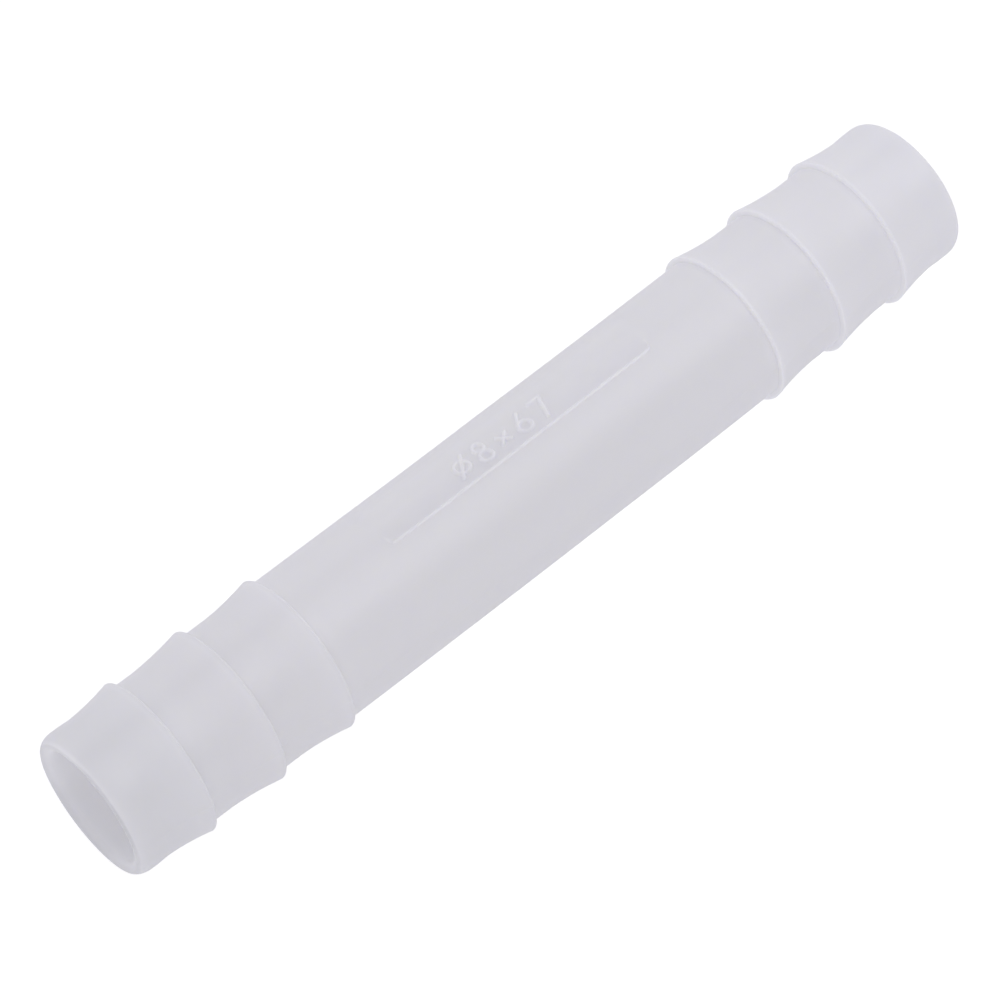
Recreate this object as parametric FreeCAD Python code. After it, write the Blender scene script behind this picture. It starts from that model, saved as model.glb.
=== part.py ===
import FreeCAD, Part
import math
import os

# Straight hose connector, one moulding: a plain round stem in the middle, three
# saw-tooth barbs on each end, a through bore, rounded mouths and a raised flat
# marking pad on top of the stem.
#
# Frame: +X along the bore axis, +Z up through the marking pad, origin on the bore
# axis halfway between the two mouths. Millimetres.

V = FreeCAD.Vector

# ---------------------------------------------------------------- dimensions
total_len = 66.7        # mouth to mouth
bore_d = 8.0
stem_d = 10.0           # plain stem in the middle, the nominal size
half_len = total_len / 2
bore_r = bore_d / 2
stem_r = stem_d / 2

bore_edge_r = 0.50      # rounding of each mouth's inner edge
mouth_edge_r = 0.48     # rounding of each mouth's outer edge
tip_r = 9.98 / 2        # lip just behind the rounded mouth
lip_len = 0.98
lip_drop = 0.004        # fall in radius along the lip
neck_r = 9.90 / 2       # shallow neck behind the lip
neck_x = 2.25           # distance of the neck from the mouth

first_step_x = 5.35     # distance of the first barb's step from the mouth
barb_pitch = 5.30
# one row per barb, from the mouth inwards:
# crest diameter, slope length, diameter at the step's foot
barbs = [
    (10.72, 3.10, 9.90),
    (10.76, 3.60, 9.92),
    (10.76, 3.40, stem_d),
]
slope_mid = 0.33        # share of the rise reached halfway along the hollow slope
crest_r = 0.07          # rounding of each crest
foot_r = 0.04           # rounding at each step's foot
step_lean = 0.01        # how far each step leans over its height

pad_len = 21.0          # along X
pad_w = 3.2             # along Y
pad_base_z = 4.45       # sunk in the stem wall
pad_top_z = 5.02
pad_x = 0.42            # pad centre along X
pad_corner_r = 0.5

mark_h = 0.16           # height of the raised mark above the pad
mark_sink = 0.25        # depth of the strokes below the pad top
stroke = 0.22           # stroke width of the mark
mark_base_y = -1.24     # foot of the characters
char_h = 1.88           # character height


# ---------------------------------------------------------------- turned body
def arc_points(x, radius, arc_r, start, end):
    """Start, middle and end of an arc about (x, radius), angles in degrees."""
    angles = [math.radians(a) for a in (start, 0.5 * (start + end), end)]
    return [(x + arc_r * math.cos(a), radius + arc_r * math.sin(a)) for a in angles]


def barb_segments(start, step_x, crest_d, slope_len, foot_d):
    """Run-up, hollow slope, rounded crest, step face and rounded foot of one barb."""
    segments = []
    slope_x = step_x - slope_len
    # the first slope starts at the neck itself and has no run-up
    if slope_x - start[0] > 1e-6:
        segments.append([start, (slope_x, start[1])])
        start = (slope_x, start[1])

    crest = crest_d / 2
    rise = crest - start[1]
    # the crest rounding begins at the angle of the slope's upper half
    slope_angle = math.degrees(math.atan((1 - slope_mid) * rise / (0.5 * slope_len)))
    crest_arc = arc_points(step_x - crest_r, crest - crest_r, crest_r, 90 + slope_angle, 0)
    slope_end = crest_arc[0]
    slope_middle = (0.5 * (start[0] + slope_end[0]),
                    start[1] + slope_mid * (slope_end[1] - start[1]))
    foot_arc = arc_points(step_x + step_lean + foot_r, foot_d / 2 + foot_r, foot_r, 180, 270)
    return segments + [
        [start, slope_middle, slope_end],
        crest_arc,
        [crest_arc[-1], foot_arc[0]],
        foot_arc,
    ]


def end_segments():
    """Profile from a mouth's inner edge to mid-stem, as (distance from the mouth,
    radius) points: two points make a line, three an arc."""
    inner_edge = arc_points(bore_edge_r, bore_r + bore_edge_r, bore_edge_r, 270, 180)
    outer_edge = arc_points(mouth_edge_r, tip_r - mouth_edge_r, mouth_edge_r, 180, 90)
    lip_end = (mouth_edge_r + lip_len, tip_r - lip_drop)
    segments = [
        inner_edge,
        [inner_edge[-1], outer_edge[0]],
        outer_edge,
        [outer_edge[-1], lip_end],
        [lip_end, (neck_x, neck_r)],
    ]
    for i, barb in enumerate(barbs):
        segments += barb_segments(segments[-1][-1], first_step_x + i * barb_pitch, *barb)
    segments.append([segments[-1][-1], (half_len, stem_r)])
    return segments


def profile_edge(points):
    vectors = [V(x, y, 0) for x, y in points]
    curve = Part.LineSegment if len(vectors) == 2 else Part.Arc
    return curve(*vectors).toShape()


def make_turned_body():
    edges = []
    for side in (1, -1):
        for points in end_segments():
            edges.append(profile_edge([(side * (x - half_len), y) for x, y in points]))
    bore_end = half_len - bore_edge_r
    edges.append(profile_edge([(-bore_end, bore_r), (bore_end, bore_r)]))

    wire = Part.Wire(Part.__sortEdges__(edges))
    body = Part.Face(wire).revolve(V(0, 0, 0), V(1, 0, 0), 360)
    # the profile's winding can leave the solid inside out
    if body.Volume < 0:
        body.reverse()
    return body


# ---------------------------------------------------------------- marking pad
def make_pad():
    pad = Part.makeBox(pad_len, pad_w, pad_top_z - pad_base_z,
                       V(pad_x - pad_len / 2, -pad_w / 2, pad_base_z))
    upright = [e for e in pad.Edges
               if abs(e.Vertexes[0].X - e.Vertexes[1].X) < 1e-6
               and abs(e.Vertexes[0].Y - e.Vertexes[1].Y) < 1e-6]
    return pad.makeFillet(pad_corner_r, upright)


# ---------------------------------------------------------------- raised mark
# A diameter sign, the bore and the length in whole millimetres, reading along +X.
mark_z = pad_top_z - mark_sink
stroke_h = mark_sink + mark_h
mid_h = char_h / 2
top_h = char_h - stroke / 2     # centre line of a stroke along the top
foot_h = stroke / 2             # centre line of a stroke at the foot

# character centre x, rings (centre height, outer radius), and bars
# (x1, height1, x2, height2) with x from the character centre
characters = [
    # diameter sign
    (-3.35, [(mid_h, 0.62)], [(-0.52, mid_h - 0.80, 0.52, mid_h + 0.80)]),
    # 8
    (-1.72, [(0.53, 0.53), (char_h - 0.48, 0.48)], []),
    # multiplication sign
    (-0.14, [], [(-0.36, mid_h - 0.50, 0.36, mid_h + 0.22),
                 (-0.36, mid_h + 0.22, 0.36, mid_h - 0.50)]),
    # 6
    (1.42, [(0.56, 0.56)], [(-0.40, 0.72, 0.22, top_h)]),
    # 7
    (3.02, [], [(-0.44, top_h, 0.44, top_h),
                (0.44, top_h, -0.14, foot_h)]),
]


def make_bar(x1, y1, x2, y2):
    """Straight stroke with round ends."""
    length = math.hypot(x2 - x1, y2 - y1)
    bar = Part.makeBox(length, stroke, stroke_h, V(0, -stroke / 2, 0))
    for x in (0, length):
        bar = bar.fuse(Part.makeCylinder(stroke / 2, stroke_h, V(x, 0, 0)))
    bar = bar.removeSplitter()
    bar.rotate(V(0, 0, 0), V(0, 0, 1), math.degrees(math.atan2(y2 - y1, x2 - x1)))
    bar.translate(V(x1, mark_base_y + y1, mark_z))
    return bar


def make_ring(x, y, outer_r):
    """Closed round stroke."""
    overcut = 0.5       # the hole's cutter passes both faces
    outer = Part.makeCylinder(outer_r, stroke_h, V(x, mark_base_y + y, mark_z))
    hole = Part.makeCylinder(outer_r - stroke, stroke_h + 2 * overcut,
                             V(x, mark_base_y + y, mark_z - overcut))
    return outer.cut(hole)


def make_marks():
    marks = []
    for x, rings, bars in characters:
        marks += [make_ring(x, y, outer_r) for y, outer_r in rings]
        marks += [make_bar(x + x1, y1, x + x2, y2) for x1, y1, x2, y2 in bars]
    return marks


connector = make_turned_body().fuse([make_pad()] + make_marks()).removeSplitter().Solids[0]

os.makedirs("parts", exist_ok=True)
connector.exportStep("parts/connector_body.step")
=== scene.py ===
import math
from collections import namedtuple

import bmesh
import bpy
import numpy as np
from mathutils import Matrix


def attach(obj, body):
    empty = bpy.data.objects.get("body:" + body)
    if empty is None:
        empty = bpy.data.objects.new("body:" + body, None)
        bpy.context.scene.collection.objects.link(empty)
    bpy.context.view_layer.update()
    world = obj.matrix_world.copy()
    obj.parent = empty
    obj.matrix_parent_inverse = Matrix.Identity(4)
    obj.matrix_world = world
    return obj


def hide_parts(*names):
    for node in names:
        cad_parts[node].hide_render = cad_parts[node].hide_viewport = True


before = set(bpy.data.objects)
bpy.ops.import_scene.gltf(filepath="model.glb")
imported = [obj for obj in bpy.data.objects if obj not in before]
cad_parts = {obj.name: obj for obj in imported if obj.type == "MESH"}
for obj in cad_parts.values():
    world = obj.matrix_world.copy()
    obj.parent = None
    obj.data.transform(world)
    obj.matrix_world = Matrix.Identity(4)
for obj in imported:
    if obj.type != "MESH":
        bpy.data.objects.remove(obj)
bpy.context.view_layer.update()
scene = bpy.context.scene

MM = 0.001      # everything below is in millimetres and degrees unless noted

# ------------------------------------------------------------------ dimensions
HALF = 66.7 / 2                     # half the length of the tube
BORE_R = 4.0
STEM_R = 5.0
BORE_EDGE = 0.50                    # rounding between bore and end face
MOUTH_R = 0.48                      # outer rounding of the mouth, measured radially
MOUTH_LENGTHS = (0.95, 0.74)        # the same, measured along the tube, at -X and +X
TIP_R = 4.99
LIP_LEN = 0.98
LIP_END_R = TIP_R - 0.004
NECK_R = 4.95
NECK_X = 2.25                       # where the neck begins, from the mouth

# step: distance of the step from the mouth; slope: length of the slope up to the crest;
# crest_dim, step_glow: painted shade on the crest and painted light behind the step, both at the
# -X end
Barb = namedtuple("Barb", "step crest_r slope foot_r crest_dim step_glow")
BARBS = [
    Barb(5.35, 5.36, 3.10, 4.95, 0.100, 0.042),
    Barb(10.65, 5.38, 3.60, 4.96, 0.130, 0.044),
    Barb(15.95, 5.38, 3.40, STEM_R, 0.130, 0.056),
]
SLOPE_MID = 0.33                    # share of the rise reached halfway up a slope
CREST_RND = 0.07
FOOT_RND = 0.04
STEP_LEAN = 0.01                    # how far a step face leans towards the stem
LEVEL_STEP = 0.6                    # spacing of points between a foot and the next slope

PAD_LEN = 21.0
PAD_W = 3.2
PAD_Z = 5.02
PAD_X = 0.42
PAD_RND = 0.5                       # corner radius of the outline
MARK_H = 0.16                       # height above the pad
STROKE = 0.22
MARK_Y = -1.24                      # foot of the characters
CHAR_H = 1.88

SEAM_H = 0.014                      # height of the parting ridge
WARP = 0.239                        # bow of the whole tube
WARP_SPAN = 33.0
TILT = math.radians(39.4)           # plane of the bow and of the view, from +Y towards +Z


# ------------------------------------------------------------------ helpers
def smooth(low, high, value):
    """Eased step from 0 at low to 1 at high."""
    t = np.clip((value - low) / (high - low), 0, 1)
    return t * t * (3 - 2 * t)


def bell(value, centre, width):
    return np.exp(-((value - centre) / width) ** 2)


def merge(values, gap):
    """Sort, and drop each value that is within the gap of the last one kept."""
    values = sorted(values)
    kept = [values[0]]
    for value in values[1:]:
        if value - kept[-1] > gap:
            kept.append(value)
    return kept


def arc_through(start, middle, end, count):
    """Points after start on the circle through three points."""
    (x1, y1), (x2, y2), (x3, y3) = start, middle, end
    sq1, sq2, sq3 = x1**2 + y1**2, x2**2 + y2**2, x3**2 + y3**2
    det = 2 * (x1 * (y2 - y3) + x2 * (y3 - y1) + x3 * (y1 - y2))
    centre_x = (sq1 * (y2 - y3) + sq2 * (y3 - y1) + sq3 * (y1 - y2)) / det
    centre_y = (sq1 * (x3 - x2) + sq2 * (x1 - x3) + sq3 * (x2 - x1)) / det
    radius = math.hypot(x1 - centre_x, y1 - centre_y)
    first, through, last = (math.atan2(y - centre_y, x - centre_x)
                            for x, y in (start, middle, end))
    sweep = (last - first) % (2 * math.pi)
    if (through - first) % (2 * math.pi) > sweep:
        sweep -= 2 * math.pi
    return [(centre_x + radius * math.cos(first + sweep * k / count),
             centre_y + radius * math.sin(first + sweep * k / count))
            for k in range(1, count + 1)]


def on_circle(x, y, radius, degrees):
    angle = math.radians(degrees)
    return x + radius * math.cos(angle), y + radius * math.sin(angle)


def arc_about(x, y, radius, start, end, count):
    """Points around a centre, both ends included."""
    return [on_circle(x, y, radius, start + (end - start) * k / count)
            for k in range(count + 1)]


# ------------------------------------------------------------------ profile
def half_profile(mouth_len):
    """(distance from the mouth, radius) from the bore wall out to the last step's foot."""
    points = arc_about(BORE_EDGE, BORE_R + BORE_EDGE, BORE_EDGE, 270, 180, 9)
    points += [(mouth_len * (1 - math.cos(a)), TIP_R - MOUTH_R * (1 - math.sin(a)))
               for a in np.radians(np.linspace(0, 90, 9))]
    lip_end = MOUTH_R + LIP_LEN
    points += [(mouth_len + 0.2, TIP_R - 0.001),
               (mouth_len + 0.4, TIP_R - 0.002),
               (lip_end, LIP_END_R)]
    for t in (1 / 3, 2 / 3, 1):
        points.append((lip_end + (NECK_X - lip_end) * t,
                       LIP_END_R + (NECK_R - LIP_END_R) * smooth(0, 1, t)))
    for barb in BARBS:
        points += barb_points(barb, points[-1])
    return points


def barb_points(barb, last):
    """A level run from the last point, then the slope, the rounded crest and the step."""
    points = []
    level = barb.step - barb.slope - last[0]
    if level > 0.05:
        count = max(1, int(level / LEVEL_STEP))
        points = [(last[0] + level * k / count, last[1]) for k in range(1, count + 1)]
        last = points[-1]
    rise = barb.crest_r - last[1]
    lean = math.degrees(math.atan((1 - SLOPE_MID) * rise / (0.5 * barb.slope)))
    crest = (barb.step - CREST_RND, barb.crest_r - CREST_RND, CREST_RND)
    top = on_circle(*crest, 90 + lean)
    middle = (0.5 * (last[0] + top[0]), last[1] + SLOPE_MID * (top[1] - last[1]))
    points += arc_through(last, middle, top, 12)
    points += arc_about(*crest, 90 + lean, 0, 6)[1:]
    foot_y = barb.foot_r + FOOT_RND
    points.append((barb.step + STEP_LEAN * 0.5, 0.5 * (crest[1] + foot_y)))
    points += arc_about(barb.step + STEP_LEAN + FOOT_RND, foot_y, FOOT_RND, 180, 270, 4)
    return points


near_half, far_half = (half_profile(length) for length in MOUTH_LENGTHS)

# ------------------------------------------------------------------ grid lines
GRID_STEP = 0.045                   # spacing of the grid under the mark


def stem_lines():
    """x of the lines around the stem, dense at the pad ends and under the mark."""
    lines = list(np.arange(-16.9, 17.0, 0.85))
    for end, inward in ((PAD_X - PAD_LEN / 2, 1), (PAD_X + PAD_LEN / 2, -1)):
        lines += list(end + inward * np.array([-0.09, -0.03, 0.0, 0.03, 0.09, 0.2]))
        lines += list(end + np.arange(-0.5, 0.51, 0.1))
    mark_start, mark_end = -4.2, 3.85
    lines = [x for x in lines if not mark_start < x < mark_end]
    lines += list(np.arange(mark_start, mark_end + 0.02, GRID_STEP))
    limit = HALF - near_half[-1][0] - 0.15
    return merge([x for x in lines if -limit < x < limit], 0.018)


def angle_lines():
    """Angles from +Z towards +Y of the lines along the tube, in radians."""
    def degrees_at(y, radius=STEM_R):
        return math.degrees(math.asin(y / radius))

    mark_surface = 5.06
    fine = [degrees_at(y, mark_surface)
            for y in np.arange(MARK_Y - 0.12, MARK_Y + CHAR_H + 0.13, GRID_STEP)]
    fine += [degrees_at(y) for y in (0.9, 1.05, 1.2, 1.32, 1.40, 1.80, 1.90)]
    for sign in (-1, 1):            # both long edges of the pad
        fine += [sign * degrees_at(y) for y in (1.48, 1.54, 1.57, 1.59, 1.61, 1.63, 1.66, 1.72)]
    low, high = min(fine), max(fine)
    lines = [a for a in np.arange(0.0, 360.0, 3.0) if not low < (a + 180) % 360 - 180 < high]
    lines += [a % 360 for a in fine]
    for seam in (90.0, 270.0):
        lines += [seam + offset for offset in (-1.2, -0.6, -0.3, 0.3, 0.6, 1.2)]
    return np.radians(np.array(merge(lines, 0.16)))


stem_x = stem_lines()
outline = [(-HALF + x, r) for x, r in near_half]
stem_start = len(outline)
outline += [(x, STEM_R) for x in stem_x]
outline += [(HALF - x, r) for x, r in reversed(far_half)]
outer_count = len(outline)
outline += [(x, BORE_R) for x in np.linspace(HALF - BORE_EDGE, -HALF + BORE_EDGE, 46)[1:-1]]
outline = np.array(outline)
angles = angle_lines()

# One row per profile point, one column per angle.
x0, angle = np.meshgrid(outline[:, 0], angles, indexing="ij")
r0 = np.repeat(outline[:, 1][:, None], len(angles), 1)
row = np.arange(len(outline))[:, None]
outer = row < outer_count
on_stem = (row >= stem_start) & (row < stem_start + len(stem_x))

# ------------------------------------------------------------------ the raised mark
MID = 0.5 * CHAR_H
TOP = CHAR_H - STROKE / 2
# centre x, rings (height of centre, outer radius), bars (x1, y1, x2, y2 from centre x and foot)
CHARACTERS = [
    (-3.35, [(MID, 0.62)], [(-0.52, MID - 0.80, 0.52, MID + 0.80)]),        # diameter sign
    (-1.72, [(0.53, 0.53), (CHAR_H - 0.48, 0.48)], []),                     # 8
    (-0.14, [], [(-0.36, MID - 0.50, 0.36, MID + 0.22),
                 (-0.36, MID + 0.22, 0.36, MID - 0.50)]),                   # x
    (1.42, [(0.56, 0.56)], [(-0.40, 0.72, 0.22, TOP)]),                     # 6
    (3.02, [], [(-0.44, TOP, 0.44, TOP), (0.44, TOP, -0.14, STROKE / 2)]),  # 7
]


def mark_distance(x, y):
    """Distance to the nearest stroke's outline, negative inside it."""
    y = y - MARK_Y
    nearest = np.full(x.shape, 9.0)
    for centre, rings, bars in CHARACTERS:
        for height, radius in rings:
            line = np.abs(np.hypot(x - centre, y - height) - (radius - STROKE / 2))
            nearest = np.minimum(nearest, line - STROKE / 2)
        for x1, y1, x2, y2 in bars:
            x1, x2 = x1 + centre, x2 + centre
            run, rise = x2 - x1, y2 - y1
            t = np.clip(((x - x1) * run + (y - y1) * rise) / (run * run + rise * rise), 0, 1)
            line = np.hypot(x - x1 - t * run, y - y1 - t * rise)
            nearest = np.minimum(nearest, line - STROKE / 2)
    return nearest


# ------------------------------------------------------------------ pad and surface
# Inside the pad's rounded outline the surface is the plane z = PAD_Z.
flat_y = STEM_R * np.sin(angle)
over_x = np.abs(x0 - PAD_X) - (PAD_LEN / 2 - PAD_RND)
over_y = np.abs(flat_y) - (PAD_W / 2 - PAD_RND)
pad_dist = (np.hypot(np.maximum(over_x, 0), np.maximum(over_y, 0))
            + np.minimum(np.maximum(over_x, over_y), 0) - PAD_RND)
on_top = (np.cos(angle) > 0.5) * on_stem
# the blend is crisp at the -Y edge and widens towards the +Y edge
edge_w = 0.022 + 0.33 * smooth(-1.45, -0.7, flat_y) + 0.35 * smooth(0.3, 1.2, flat_y)
inside = (1 - smooth(-edge_w, edge_w, pad_dist)) * on_top
up_cos = np.maximum(np.cos(angle), 0.5)
radius = r0 + (PAD_Z / up_cos - r0) * inside
mark_dist = mark_distance(x0, radius * np.sin(angle))
radius = radius + MARK_H * (1 - smooth(-0.05, 0.05, mark_dist)) * inside / up_cos

# parting line: a fine ridge along both sides, on the outside only
seam_deg = np.degrees(np.arccos(np.clip(np.abs(np.sin(angle)), -1, 1)))
radius = radius + SEAM_H * (1 - smooth(0.15, 0.55, seam_deg)) * smooth(4.2, 4.9, r0) * outer

# slight unevenness of a moulded surface: three shallow waves around and along the tube
uneven = (0.006 * np.sin(2 * angle + 0.19 * x0 + 0.4) * np.sin(0.31 * x0 + 1.1)
          + 0.004 * np.sin(3 * angle - 0.43 * x0)
          + 0.003 * np.cos(5 * angle + 0.27 * x0 + 2.0))
radius = radius + uneven * outer


def warped_points():
    """Vertex places after the bow of the whole tube."""
    y, z = radius * np.sin(angle), radius * np.cos(angle)
    height = y * math.cos(TILT) + z * math.sin(TILT)        # in the plane of the bow
    bend = WARP * ((x0 / WARP_SPAN) ** 2 - 1 / 3)
    slope = 2 * WARP * x0 / WARP_SPAN ** 2
    return np.stack([x0 - height * slope,
                     y + bend * math.cos(TILT),
                     z + bend * math.sin(TILT)], -1).reshape(-1, 3) * MM


# ------------------------------------------------------------------ painted shade and painted light
# Two attributes per vertex: a colour scale that is painted shade with a slight tint, and a
# strength of painted light, emitted as glow at edges, steps, the bore and the mark. Both come
# from the shape only.
# painted shade along the tube: darkest at the -X mouth, rising towards +X and falling again over
# the last millimetres at +X
PAINTED_SHADE_ALONG = [                      # x, tone
    (-33.35, 0.826), (-31.5, 0.852), (-29.0, 0.888), (-26.0, 0.900), (-20.0, 0.926),
    (-14.5, 0.944), (-8.7, 0.958), (-3.0, 0.977), (3.0, 0.994), (14.0, 0.987),
    (26.0, 1.000), (28.5, 0.974), (31.0, 0.952), (33.35, 0.920),
]
BLUE_LOSS = 0.16        # share of blue lost where the painted shade is dark
BORE_LIFT = 0.22        # share of the painted shade taken back on the bore wall
CREST_HALO = 0.025      # wider, fainter painted shade around each crest at -X
BAND_DIM = 0.025        # painted shade: band along the outside, just to -Y of the top
PAD_DIM = 0.10          # painted shade on the pad, growing towards its -Y edge
RIM_DIM = 0.22          # painted shade on the rim of the mouth at -X
END_COOL = 0.006        # loss of red near both ends

# painted light, emitted as glow: strengths at the places named, plus the parting ridges, the bore
# and the mark's strokes
FOOT_GLOW = 0.045       # painted light behind the steps at +X
FACE_GLOW = 0.034       # painted highlight on the step faces at +X
SEAM_GLOW = 0.010
BORE_GLOW = 0.060
LIP_GLOW = 0.050        # painted highlight: line around the mouth at -X
LIP_LINE_R = 4.51       # radius outside which that line shows
EDGE_GLOW = 0.088       # painted highlight on the -Y edge of the pad
MARK_GLOW = 0.036

across = np.sin(angle + TILT)       # +1 and -1 on the upper and lower flanks, as viewed
facing = np.cos(angle + TILT)       # +1 on the camera's side of the tube, -1 opposite
upper, lower = smooth(0.3, 0.7, across), smooth(0.5, 0.85, -across)


def rim_shade_mask():
    """Where the rim's painted shade falls: end face and bore edge of the -X mouth, weaker on the
    flanks.
    """
    end_r = 4.735 - 0.09 * upper * smooth(-0.2, 0.3, facing)
    rim = smooth(BORE_EDGE + 0.25, 0.0, x0 + HALF) * (1 - smooth(-0.07, 0.07, r0 - end_r))
    flanks = (0.55 * upper + 0.45 * lower) * (0.35 + 0.65 * smooth(-0.75, 0.1, facing))
    return rim * (1 - flanks + 0.12 * smooth(0.5, 0.95, -facing))


# Colour scale that paints shade onto the plastic, with less blue where darker and less red near
# the ends.
def painted_shade_colour():
    painted_shade = np.interp(x0, *zip(*PAINTED_SHADE_ALONG))
    blue = 1 - BLUE_LOSS * (1 - painted_shade)
    painted_shade = painted_shade + BORE_LIFT * (1 - painted_shade) * (1 - smooth(4.0, 4.4, r0))
    # painted shade on and around each crest at -X, dimming its lit edge
    for barb in BARBS:
        back = x0 - (-HALF + barb.step)         # distance behind the step, towards the stem
        crest = (1 - barb.crest_dim * bell(back, -0.025, 0.055)
                 - CREST_HALO * bell(back, -0.06, 0.12))
        painted_shade = painted_shade * np.where(outer, crest, 1.0)
    from_top = np.degrees(np.arctan2(np.sin(angle), np.cos(angle)))
    # painted shade in a band just to -Y of the top, off the pad
    painted_shade = painted_shade * (1 - BAND_DIM * bell(from_top, -10, 9) * outer * (1 - inside))
    # painted shade on the pad, darker towards its -Y edge
    painted_shade = painted_shade * (1 - PAD_DIM * np.clip((0.1 - flat_y) / 1.55, 0, 1) * inside)
    # painted shade on the -X rim
    painted_shade = painted_shade * (1 - RIM_DIM * rim_shade_mask())
    cool = END_COOL * smooth(24.0, 30.0, np.abs(x0)) * outer
    return np.stack([painted_shade * (1 - cool), painted_shade, painted_shade * blue, np.ones(painted_shade.shape)], -1)


def barb_glow(barb):
    """Painted light behind the step at each end, and a painted highlight on the step face at +X.
    """
    back = x0 - (-HALF + barb.step)             # towards the stem, at the -X end
    front = (HALF - barb.step) - x0             # the same, at the +X end
    behind = np.where(outer & (back > 0.02), barb.step_glow * np.exp(-back / 0.55), 0.0)
    fade = np.exp(-front / 0.30) * smooth(0.02, 0.07, front)
    behind_far = np.where(outer & (front > 0.02), FOOT_GLOW * fade, 0.0)
    high = smooth(0.2, 0.8, (r0 - barb.foot_r) / (barb.crest_r - barb.foot_r))
    face = np.where(outer, FACE_GLOW * bell(front, -0.03, 0.08) * high, 0.0)
    return behind + behind_far + face


# painted highlight along the parting ridges, patchy along the tube
def seam_glow():
    patchy = 0.55 + 0.45 * np.sin(1.7 * x0 + 0.8) * np.sin(0.43 * x0 + 2.0)
    return SEAM_GLOW * (1 - smooth(0.2, 0.9, seam_deg)) * outer * patchy


def bore_glow():
    """Painted light in the bore, strongest near the mouths and on the upper flank."""
    deep = 0.2 + 0.8 * smooth(30.9, 31.7, np.abs(x0))
    flank = 1 + 0.45 * upper + 0.05 * lower
    wall = 1 - 0.75 * smooth(BORE_R, 4.45, r0)
    return np.where(r0 < BORE_R + BORE_EDGE, BORE_GLOW * flank * deep * wall, 0.0)


# painted highlight: a thin line on the outer rounding of the -X mouth, on the side facing the
# camera
def lip_glow():
    line = bell(x0 + HALF, 0.10, 0.09) * (r0 > LIP_LINE_R) * outer
    line = line * smooth(0.1, 0.6, facing) * smooth(-0.35, 0.0, across)
    return LIP_GLOW * line * (0.45 + 0.55 * smooth(0.0, 0.45, across))


def pad_edge_glow():
    """Painted highlight: a sharp line with a faint skirt along -Y, fading out around the pad's
    ends.
    """
    skirt = 0.2 * (pad_dist > 0.03) * np.exp(-pad_dist / 0.14)
    low_edge = (bell(pad_dist, 0.012, 0.035) + skirt) * (flat_y < -1.3)
    end_edge = 0.5 * bell(pad_dist, 0, 0.07) * (flat_y >= -1.3) * (1 - smooth(-1.3, -0.7, flat_y))
    return EDGE_GLOW * (low_edge + end_edge) * on_top


def painted_light_strength():
    # painted highlight on the mark's strokes
    strokes = (1 - smooth(-0.06, 0.05, mark_dist)) * inside
    return (sum(barb_glow(barb) for barb in BARBS) + seam_glow() + bore_glow() + lip_glow()
            + pad_edge_glow() + MARK_GLOW * strokes)


# ------------------------------------------------------------------ mesh
def shell_mesh():
    """The closed grid: quads join each row and column to the next, wrapping around both."""
    rows, columns = x0.shape
    column = np.arange(columns)[None, :]
    next_row, next_column = (row + 1) % rows, (column + 1) % columns
    quads = np.stack([row * columns + column, row * columns + next_column,
                      next_row * columns + next_column, next_row * columns + column],
                     -1).reshape(-1, 4)
    points = warped_points()
    mesh = bpy.data.meshes.new("connector_shell")
    mesh.vertices.add(len(points))
    mesh.vertices.foreach_set("co", points.astype(np.float32).ravel())
    mesh.loops.add(quads.size)
    mesh.loops.foreach_set("vertex_index", quads.astype(np.int32).ravel())
    mesh.polygons.add(len(quads))
    mesh.polygons.foreach_set("loop_start", np.arange(0, quads.size, 4, dtype=np.int32))
    mesh.polygons.foreach_set("loop_total", np.full(len(quads), 4, np.int32))
    mesh.update(calc_edges=True)
    mesh.validate()
    work = bmesh.new()
    work.from_mesh(mesh)
    bmesh.ops.recalc_face_normals(work, faces=work.faces)
    work.to_mesh(mesh)
    work.free()
    mesh.polygons.foreach_set("use_smooth", [True] * len(mesh.polygons))
    # per-vertex painted shade (colour scale) and painted light (glow strength)
    painted_shade = mesh.attributes.new("painted_shade", "FLOAT_COLOR", "POINT")
    painted_shade.data.foreach_set("color", painted_shade_colour().astype(np.float32).ravel())
    glow = mesh.attributes.new("glow", "FLOAT", "POINT")
    glow.data.foreach_set("value", painted_light_strength().astype(np.float32).ravel())
    return mesh


def add_object(name, data):
    new = bpy.data.objects.new(name, data)
    scene.collection.objects.link(new)
    return new


body = add_object("connector_shell", shell_mesh())


# ------------------------------------------------------------------ shader helpers
def empty_tree(owner):
    owner.use_nodes = True
    owner.node_tree.nodes.clear()
    return owner.node_tree


def node(tree, kind, inputs=None, **settings):
    """Add a node. Each input is a value, or a socket to link from."""
    new = tree.nodes.new("ShaderNode" + kind)
    for name, value in settings.items():
        setattr(new, name, value)
    for key, value in (inputs or {}).items():
        if isinstance(value, bpy.types.NodeSocket):
            tree.links.new(value, new.inputs[key])
        else:
            new.inputs[key].default_value = value
    return new


def mix_colour(tree, factor, first, second, **settings):
    """Sockets 0, 6, 7 and output 2 are the mix node's colour ones."""
    inputs = {0: factor, 6: first, 7: second}
    return node(tree, "Mix", inputs, data_type="RGBA", **settings).outputs[2]


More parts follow.
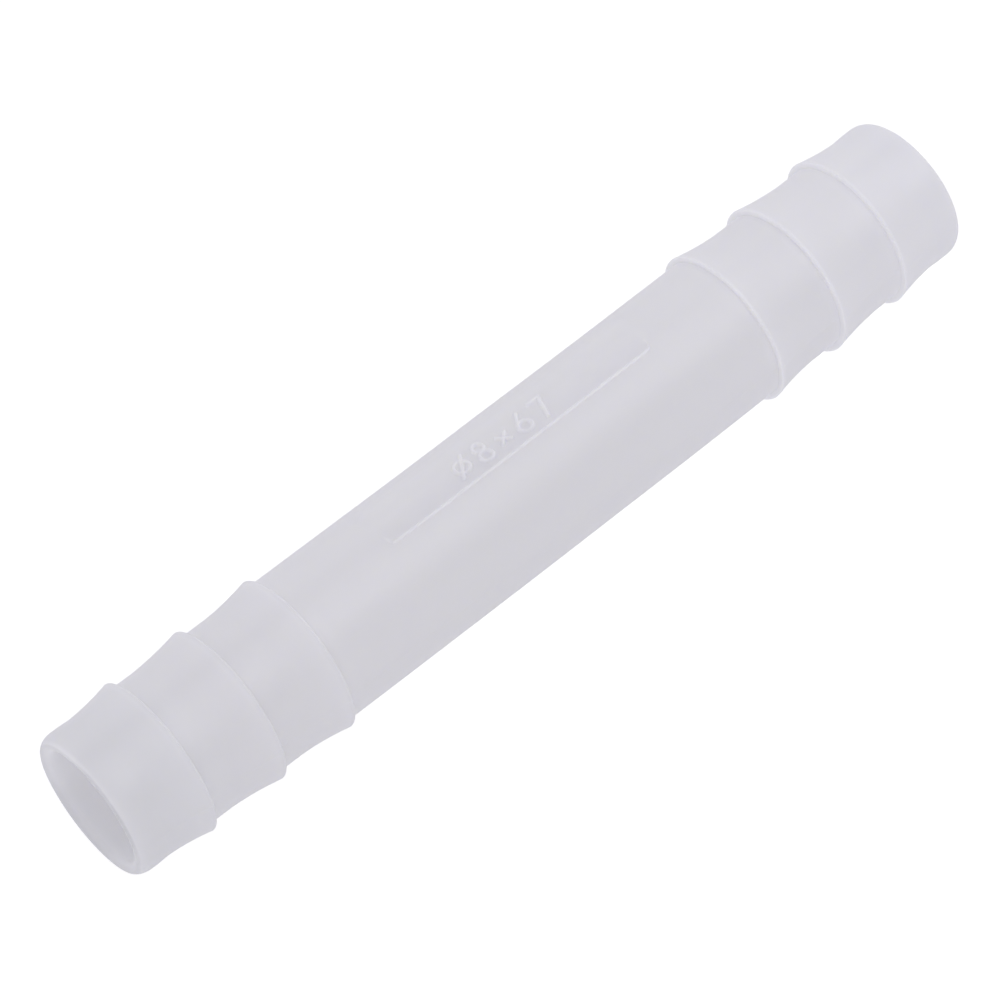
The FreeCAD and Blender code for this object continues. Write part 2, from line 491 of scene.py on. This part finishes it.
# ------------------------------------------------------------------ plastic
def plastic():
    mat = bpy.data.materials.new("natural_polypropylene")
    tree = empty_tree(mat)
    place = node(tree, "TexCoord").outputs["Object"]
    # flow marks run along the tube
    drawn = node(tree, "Mapping", {"Vector": place, "Scale": (0.35, 1.0, 1.0)})
    cloud = node(tree, "TexNoise", {"Vector": drawn.outputs["Vector"], "Scale": 260.0,
                                    "Detail": 4.0, "Roughness": 0.55}).outputs["Fac"]
    ramp = node(tree, "ValToRGB", {"Fac": cloud})
    stops = ((0.30, (0.955, 0.953, 0.968, 1)), (0.72, (0.966, 0.964, 0.979, 1)))
    for element, (position, colour) in zip(ramp.color_ramp.elements, stops):
        element.position = position
        element.color = colour
    # painted shade, multiplied into the base colour
    painted_shade = node(tree, "Attribute", attribute_name="painted_shade")
    base = mix_colour(tree, 1.0, ramp.outputs["Color"], painted_shade.outputs["Color"],
                      blend_type="MULTIPLY")
    # painted light, emitted by the surface
    glow = node(tree, "Attribute", attribute_name="glow")
    grain = node(tree, "TexNoise", {"Vector": place, "Scale": 5200.0, "Detail": 2.0})
    rough = node(tree, "MapRange", {"Value": cloud, "To Min": 0.28, "To Max": 0.33})
    bump = node(tree, "Bump", {"Height": grain.outputs["Fac"], "Strength": 0.06,
                               "Distance": 0.00002})
    shader = node(tree, "BsdfPrincipled", {
        "Base Color": base,
        "Emission Color": (0.98, 0.97, 1.03, 1),
        "Emission Strength": glow.outputs["Fac"],
        "Roughness": rough.outputs["Result"],
        "Normal": bump.outputs["Normal"],
        "Subsurface Weight": 1.0,
        "Subsurface Radius": (1.0, 1.0, 1.15),
        "Subsurface Scale": 0.0014,
        "IOR": 1.49,
    }, subsurface_method="RANDOM_WALK")
    node(tree, "OutputMaterial", {"Surface": shader.outputs["BSDF"]})
    return mat


body.data.materials.append(plastic())
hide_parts("connector_body")
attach(body, "root")

# ------------------------------------------------------------------ floor
FLOOR_Z = -5.41 * MM
FLOOR_HALF = 3.0                    # metres
FLOOR_LIT, FLOOR_SEEN = 0.425, 0.78     # emission towards the object and towards the camera
FLOOR_TINT = (0.984, 0.970, 1.048, 1)
WHITE = (1, 1, 1, 1)


def floor_material():
    mat = bpy.data.materials.new("floor_pale")
    tree = empty_tree(mat)
    seen = node(tree, "LightPath").outputs["Is Camera Ray"]
    diffuse = node(tree, "BsdfDiffuse", {"Color": (0.40, 0.40, 0.40, 1)})
    strength = node(tree, "MapRange", {"Value": seen, "To Min": FLOOR_LIT,
                                       "To Max": FLOOR_SEEN})
    emission = node(tree, "Emission", {"Color": mix_colour(tree, seen, FLOOR_TINT, WHITE),
                                       "Strength": strength.outputs["Result"]})
    both = node(tree, "AddShader", {0: diffuse.outputs["BSDF"], 1: emission.outputs["Emission"]})
    node(tree, "OutputMaterial", {"Surface": both.outputs["Shader"]})
    return mat


floor_mesh = bpy.data.meshes.new("floor")
corners = [(x * FLOOR_HALF, y * FLOOR_HALF, FLOOR_Z)
           for x, y in ((-1, -1), (1, -1), (1, 1), (-1, 1))]
floor_mesh.from_pydata(corners, [], [(0, 1, 2, 3)])
floor = add_object("floor", floor_mesh)
floor_mesh.materials.append(floor_material())

# ------------------------------------------------------------------ light
# A soft white tent: broad overlapping lobes of light around the object, as
# (azimuth from +X towards +Y, elevation, tightness, strength).
LOBES = [
    (0, 90, 4, 0.480),
    (0, 35, 4, 0.675), (60, 35, 4, 0.085), (120, 35, 4, 0.105),
    (180, 35, 4, 0.360), (240, 35, 4, 0.160),
    (0, 6, 4, 0.510), (60, 6, 4, 0.325), (120, 6, 4, 0.645),
    (180, 6, 4, 0.450), (240, 6, 4, 0.620), (300, 6, 4, 0.040),
    (311, 58, 30, 0.450), (335, 66, 30, 0.160),     # four tighter ones high on the +X, -Y
    (300, 47, 16, 0.410), (305, 51, 40, 0.730),     # side, for the soft sheen
    (68, 25, 12, 0.150),                            # behind, on the +Y side
    (198, 18, 12, 0.220),                           # facing the mouth at -X
]
SKY_TINT = (0.984, 0.973, 1.046, 1)
SKY_SEEN = 1.02                     # strength of the plain white the camera sees


def math_node(tree, operation, first, second):
    return node(tree, "Math", {0: first, 1: second}, operation=operation).outputs[0]


def lobe(tree, direction, azimuth, elevation, tightness, strength):
    around, rise = math.radians(azimuth), math.radians(elevation)
    axis = (math.cos(rise) * math.cos(around), math.cos(rise) * math.sin(around),
            math.sin(rise))
    level = node(tree, "VectorMath", {0: direction, 1: axis},
                 operation="DOT_PRODUCT").outputs["Value"]
    level = math_node(tree, "MAXIMUM", level, 0.0)
    level = math_node(tree, "POWER", level, float(tightness))
    return math_node(tree, "MULTIPLY", level, strength)


def studio():
    world = bpy.data.worlds.new("studio")
    tree = empty_tree(world)
    direction = node(tree, "TexCoord").outputs["Generated"]
    total = lobe(tree, direction, *LOBES[0])
    for settings in LOBES[1:]:
        total = math_node(tree, "ADD", total, lobe(tree, direction, *settings))
    lit = node(tree, "Background", {"Color": SKY_TINT, "Strength": total})
    seen = node(tree, "Background", {"Color": WHITE, "Strength": SKY_SEEN})
    camera_ray = node(tree, "LightPath").outputs["Is Camera Ray"]
    mix = node(tree, "MixShader", {"Fac": camera_ray, 1: lit.outputs["Background"],
                                   2: seen.outputs["Background"]})
    node(tree, "OutputWorld", {"Surface": mix.outputs["Shader"]})
    return world


scene.world = studio()

# ------------------------------------------------------------------ camera
CAM_SWING = math.radians(20.146)    # towards -X, from square on to the tube
CAM_ROLL = math.radians(37.3522)
CAM_DIST = 301.97
CAM_LENS = 178.22988
CAM_SHIFT = (-0.01447703, -0.01183125)


def camera_matrix():
    along = np.array([1.0, 0, 0])
    normal = np.array([0, -math.sin(TILT), math.cos(TILT)])
    rise = np.array([0, math.cos(TILT), math.sin(TILT)])
    swung = math.cos(CAM_SWING) * along + math.sin(CAM_SWING) * normal
    back = -math.sin(CAM_SWING) * along + math.cos(CAM_SWING) * normal
    right = math.cos(CAM_ROLL) * swung - math.sin(CAM_ROLL) * rise
    up = math.sin(CAM_ROLL) * swung + math.cos(CAM_ROLL) * rise
    matrix = np.eye(4)
    matrix[:3] = np.column_stack((right, up, back, back * CAM_DIST * MM))
    return Matrix(matrix.tolist())


lens = bpy.data.cameras.new("camera")
camera = add_object("camera", lens)
camera.matrix_world = camera_matrix()
lens.sensor_width = 36.0
lens.lens = CAM_LENS
lens.shift_x, lens.shift_y = CAM_SHIFT
lens.clip_start = 0.01
scene.camera = camera

# ------------------------------------------------------------------ render
scene.cycles.max_bounces = 32
scene.cycles.diffuse_bounces = 20
scene.cycles.glossy_bounces = 6
scene.cycles.transmission_bounces = 12
scene.view_settings.view_transform = "Standard"
scene.view_settings.look = "None"
scene.view_settings.exposure = 0.0
scene.view_settings.gamma = 1.0
